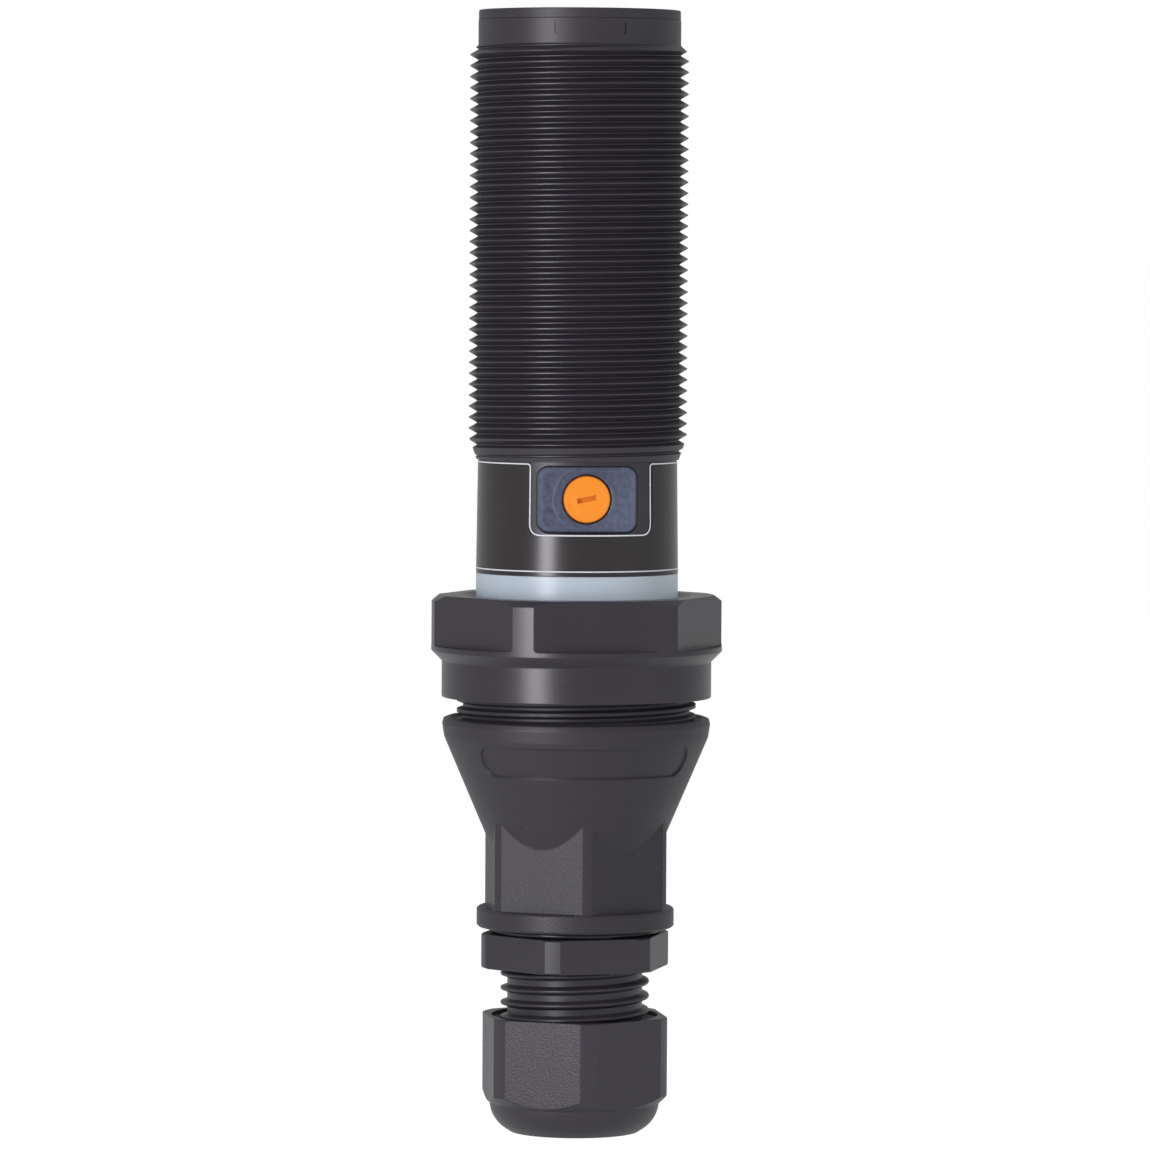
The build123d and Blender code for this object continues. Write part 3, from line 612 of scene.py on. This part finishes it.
class SENSOR_OT_chamber(SensorStep):
    """Finish the terminal chamber"""

    bl_idname = "sensor.chamber"
    bl_label = "Terminal chamber"

    def make(self, scene):
        plastics = scene.sensor_plastics
        coat_nodes(moulded("chamber_plastic", plastics.chamber, plastics.sparks, rough=0.47,
                           edge=1.6 * plastics.edge, relief=0.020 * MM, glitter=0.4), "terminal_chamber")


class SENSOR_OT_gland(SensorStep):
    """Finish the cable gland, its clamping cage and its dome nut"""

    bl_idname = "sensor.gland"
    bl_label = "Cable gland"

    def make(self, scene):
        plastics = scene.sensor_plastics
        coat_nodes(moulded("gland_plastic", plastics.gland, plastics.grain, rough=0.38,
                           edge=0.5 * plastics.edge), "gland_body", "clamping_cage")
        coat_nodes(moulded("dome_plastic", plastics.dome, plastics.sparks, rough=0.38,
                           edge=plastics.edge, relief=0.045 * MM, glitter=0.5), "dome_nut")


class SENSOR_OT_seals(SensorStep):
    """Finish the rubber seals and gaskets"""

    bl_idname = "sensor.seals"
    bl_label = "Seals"

    def make(self, scene):
        coat_nodes(rubber("seal_rubber"), "gland_gasket", "chamber_seal", "adjuster_seal", "sealing_insert")


class SENSOR_OT_electronics(SensorStep):
    """Finish the boards, electrodes and components inside the barrel"""

    bl_idname = "sensor.electronics"
    bl_label = "Electronics"

    def make(self, scene):
        coat_nodes(board_laminate(), "main_board", "electrode_board")
        coat_nodes(metal("copper", (0.85, 0.42, 0.24)), "sensing_electrode", "guard_electrode", "shield_tube")
        coat_nodes(resin("potting", (0.02, 0.02, 0.025), rough=0.2), "potting_resin")
        coat_nodes(resin("capacitor_sleeve", (0.02, 0.035, 0.12)), "smoothing_capacitor")
        coat_nodes(resin("capacitor_box", (0.55, 0.08, 0.05)), "film_capacitor")
        coat_nodes(resin("component_black", (0.02, 0.02, 0.02), rough=0.5), "output_thyristor",
                   "rectifier_bridge", "control_chip", "chip_resistors")
        coat_nodes(resin("led_clear", (0.75, 0.7, 0.45), rough=0.15), "signal_leds")
        coat_nodes(resin("trimmer_blue", (0.03, 0.11, 0.42)), "trimmer_body")
        coat_nodes(resin("rotor_white", (0.7, 0.7, 0.68)), "trimmer_rotor")


class SENSOR_OT_terminals(SensorStep):
    """Finish the terminal carrier, block, strips, cages and screws"""

    bl_idname = "sensor.terminals"
    bl_label = "Terminals"

    def make(self, scene):
        coat_nodes(resin("block_plastic", (0.10, 0.11, 0.12), rough=0.5), "terminal_block",
                   "terminal_carrier")
        coat_nodes(metal("contact_brass", (0.83, 0.62, 0.28)), "contact_strips")
        coat_nodes(metal("tin_steel", (0.68, 0.68, 0.70)), "terminal_screw_left", "terminal_screw_right",
                   "terminal_cage_left", "terminal_cage_right")


class SENSOR_OT_studio(SensorStep):
    """Set the camera, the lamps, the surround and the floor"""

    bl_idname = "sensor.studio"
    bl_label = "Studio"

    def make(self, scene):
        studio = scene.sensor_studio
        self.set_camera(scene, studio)
        self.set_lamps(studio)
        self.set_surround(scene)
        self.lay_floor(studio)
        scene.view_settings.view_transform = "Standard"

    def set_camera(self, scene, studio):
        """A long lens, far enough off to show little perspective, leaning a little."""
        data = bpy.data.cameras.new("camera")
        data.lens = studio.lens
        data.sensor_width = 36.0
        data.clip_end = 100.0
        camera = bpy.data.objects.new("camera", data)
        scene.collection.objects.link(camera)
        camera.location = on_wall(studio.bearing, studio.eye, studio.distance)
        aim = Vector((-0.27 * MM, 0, 76.5 * MM))
        facing = (aim - camera.location).to_track_quat("-Z", "Y").to_matrix()
        lean = Matrix.Rotation(math.radians(0.31), 3, "Z")
        camera.rotation_euler = (facing @ lean).to_euler()
        scene.camera = camera

    def set_lamps(self, studio):
        """Three area lamps: a narrow softbox on the left, a soft light above and a fill on the right.

        A lamp's bearing is counted from the camera's; its reach is its distance from the sensor's
        axis. The fill is kept out of reflections, as a matt card would be.
        """
        cool, neutral = (0.96, 0.94, 1.0), (1.0, 1.0, 1.0)
        for name, bearing, height, reach, width, tall, power, colour, reflected in (
            ("key_softbox", -34, 0.105, 0.3, 0.080, 0.20, 0.64, cool, True),
            ("top_light", 0, 1.5, 0.4, 1.0, 1.0, 2.0, cool, True),
            ("fill_card", 60, 0.25, 0.8, 0.4, 0.4, 2.0, neutral, False),
        ):
            data = bpy.data.lights.new(name, "AREA")
            data.shape = "RECTANGLE"
            data.size = width
            data.size_y = tall
            data.energy = power
            data.color = colour
            lamp = bpy.data.objects.new(name, data)
            lamp.visible_camera = False
            lamp.visible_glossy = reflected
            bpy.context.scene.collection.objects.link(lamp)
            lamp.location = on_wall(studio.bearing + math.radians(bearing), height, reach)
            aim = Vector((0, 0, min(height, 85 * MM)))
            lamp.rotation_euler = (aim - lamp.location).to_track_quat("-Z", "Y").to_euler()

    def set_surround(self, scene):
        """A white surround for the camera, which lights the sensor at a plainer level."""
        world = bpy.data.worlds.new("surround")
        scene.world = world
        world.use_nodes = True
        tree = world.node_tree
        tree.nodes.clear()
        rays = tree.nodes.new("ShaderNodeLightPath")
        level = tree.nodes.new("ShaderNodeMapRange")
        level.inputs["To Min"].default_value = 0.46
        level.inputs["To Max"].default_value = 1.0
        tree.links.new(rays.outputs["Is Camera Ray"], level.inputs["Value"])
        sky = tree.nodes.new("ShaderNodeBackground")
        sky.inputs["Color"].default_value = (1, 1, 1, 1)
        tree.links.new(level.outputs[0], sky.inputs["Strength"])
        out = tree.nodes.new("ShaderNodeOutputWorld")
        tree.links.new(sky.outputs[0], out.inputs["Surface"])

    def lay_floor(self, studio):
        """A white floor that still takes a little of the sensor's shadow."""
        half = 40.0
        mesh = bpy.data.meshes.new("floor")
        mesh.from_pydata([(-half, -half, 0), (half, -half, 0), (half, half, 0), (-half, half, 0)], [],
                         [(0, 1, 2, 3)])
        floor = bpy.data.objects.new("floor", mesh)
        bpy.context.scene.collection.objects.link(floor)
        floor.location.z = -studio.clearance
        finish = Finish("floor_white")
        rays = finish.node("ShaderNodeLightPath")
        seen = rays.out("Is Camera Ray") + 0.3 * rays.out("Is Glossy Ray")
        matt = finish.node("ShaderNodeBsdfDiffuse", None, {"Color": (0.8, 0.8, 0.8, 1)})
        glow = finish.node("ShaderNodeEmission", None, {"Color": (1, 1, 1, 1), "Strength": 1.15})
        blend = finish.node("ShaderNodeMixShader", None, {0: 0.8 * seen, 1: matt, 2: glow})
        finish.node("ShaderNodeOutputMaterial", None, {"Surface": blend})
        coat(floor, finish.material)


class SENSOR_PT_panel(bpy.types.Panel):
    """Lists the steps and what they take"""

    bl_idname = "SENSOR_PT_panel"
    bl_label = "Proximity sensor"
    bl_space_type = "VIEW_3D"
    bl_region_type = "UI"
    bl_category = "Sensor"

    def draw(self, context):
        for group in (context.scene.sensor_plastics, context.scene.sensor_label, context.scene.sensor_studio):
            box = self.layout.box()
            for name in group.__annotations__:
                box.prop(group, name)
        for step in STEPS:
            self.layout.operator(step.bl_idname)


STEPS = (
    SENSOR_OT_barrel,
    SENSOR_OT_label,
    SENSOR_OT_adjuster,
    SENSOR_OT_light_ring,
    SENSOR_OT_union_nut,
    SENSOR_OT_chamber,
    SENSOR_OT_gland,
    SENSOR_OT_seals,
    SENSOR_OT_electronics,
    SENSOR_OT_terminals,
    SENSOR_OT_studio,
)
GROUPS = {
    "sensor_plastics": SENSOR_PG_plastics,
    "sensor_label": SENSOR_PG_label,
    "sensor_studio": SENSOR_PG_studio,
}


def register():
    for group in GROUPS.values():
        bpy.utils.register_class(group)
    for step in STEPS:
        bpy.utils.register_class(step)
    bpy.utils.register_class(SENSOR_PT_panel)
    for name, group in GROUPS.items():
        setattr(bpy.types.Scene, name, bpy.props.PointerProperty(type=group))


def unregister():
    for name in GROUPS:
        delattr(bpy.types.Scene, name)
    bpy.utils.unregister_class(SENSOR_PT_panel)
    for step in reversed(STEPS):
        bpy.utils.unregister_class(step)
    for group in reversed(GROUPS.values()):
        bpy.utils.unregister_class(group)


def main():
    register()
    for step in STEPS:
        group, name = step.bl_idname.split(".")
        if getattr(getattr(bpy.ops, group), name)() != {"FINISHED"}:
            raise RuntimeError(f"{step.bl_label} wasn't made")


if __name__ == "__main__":
    main()
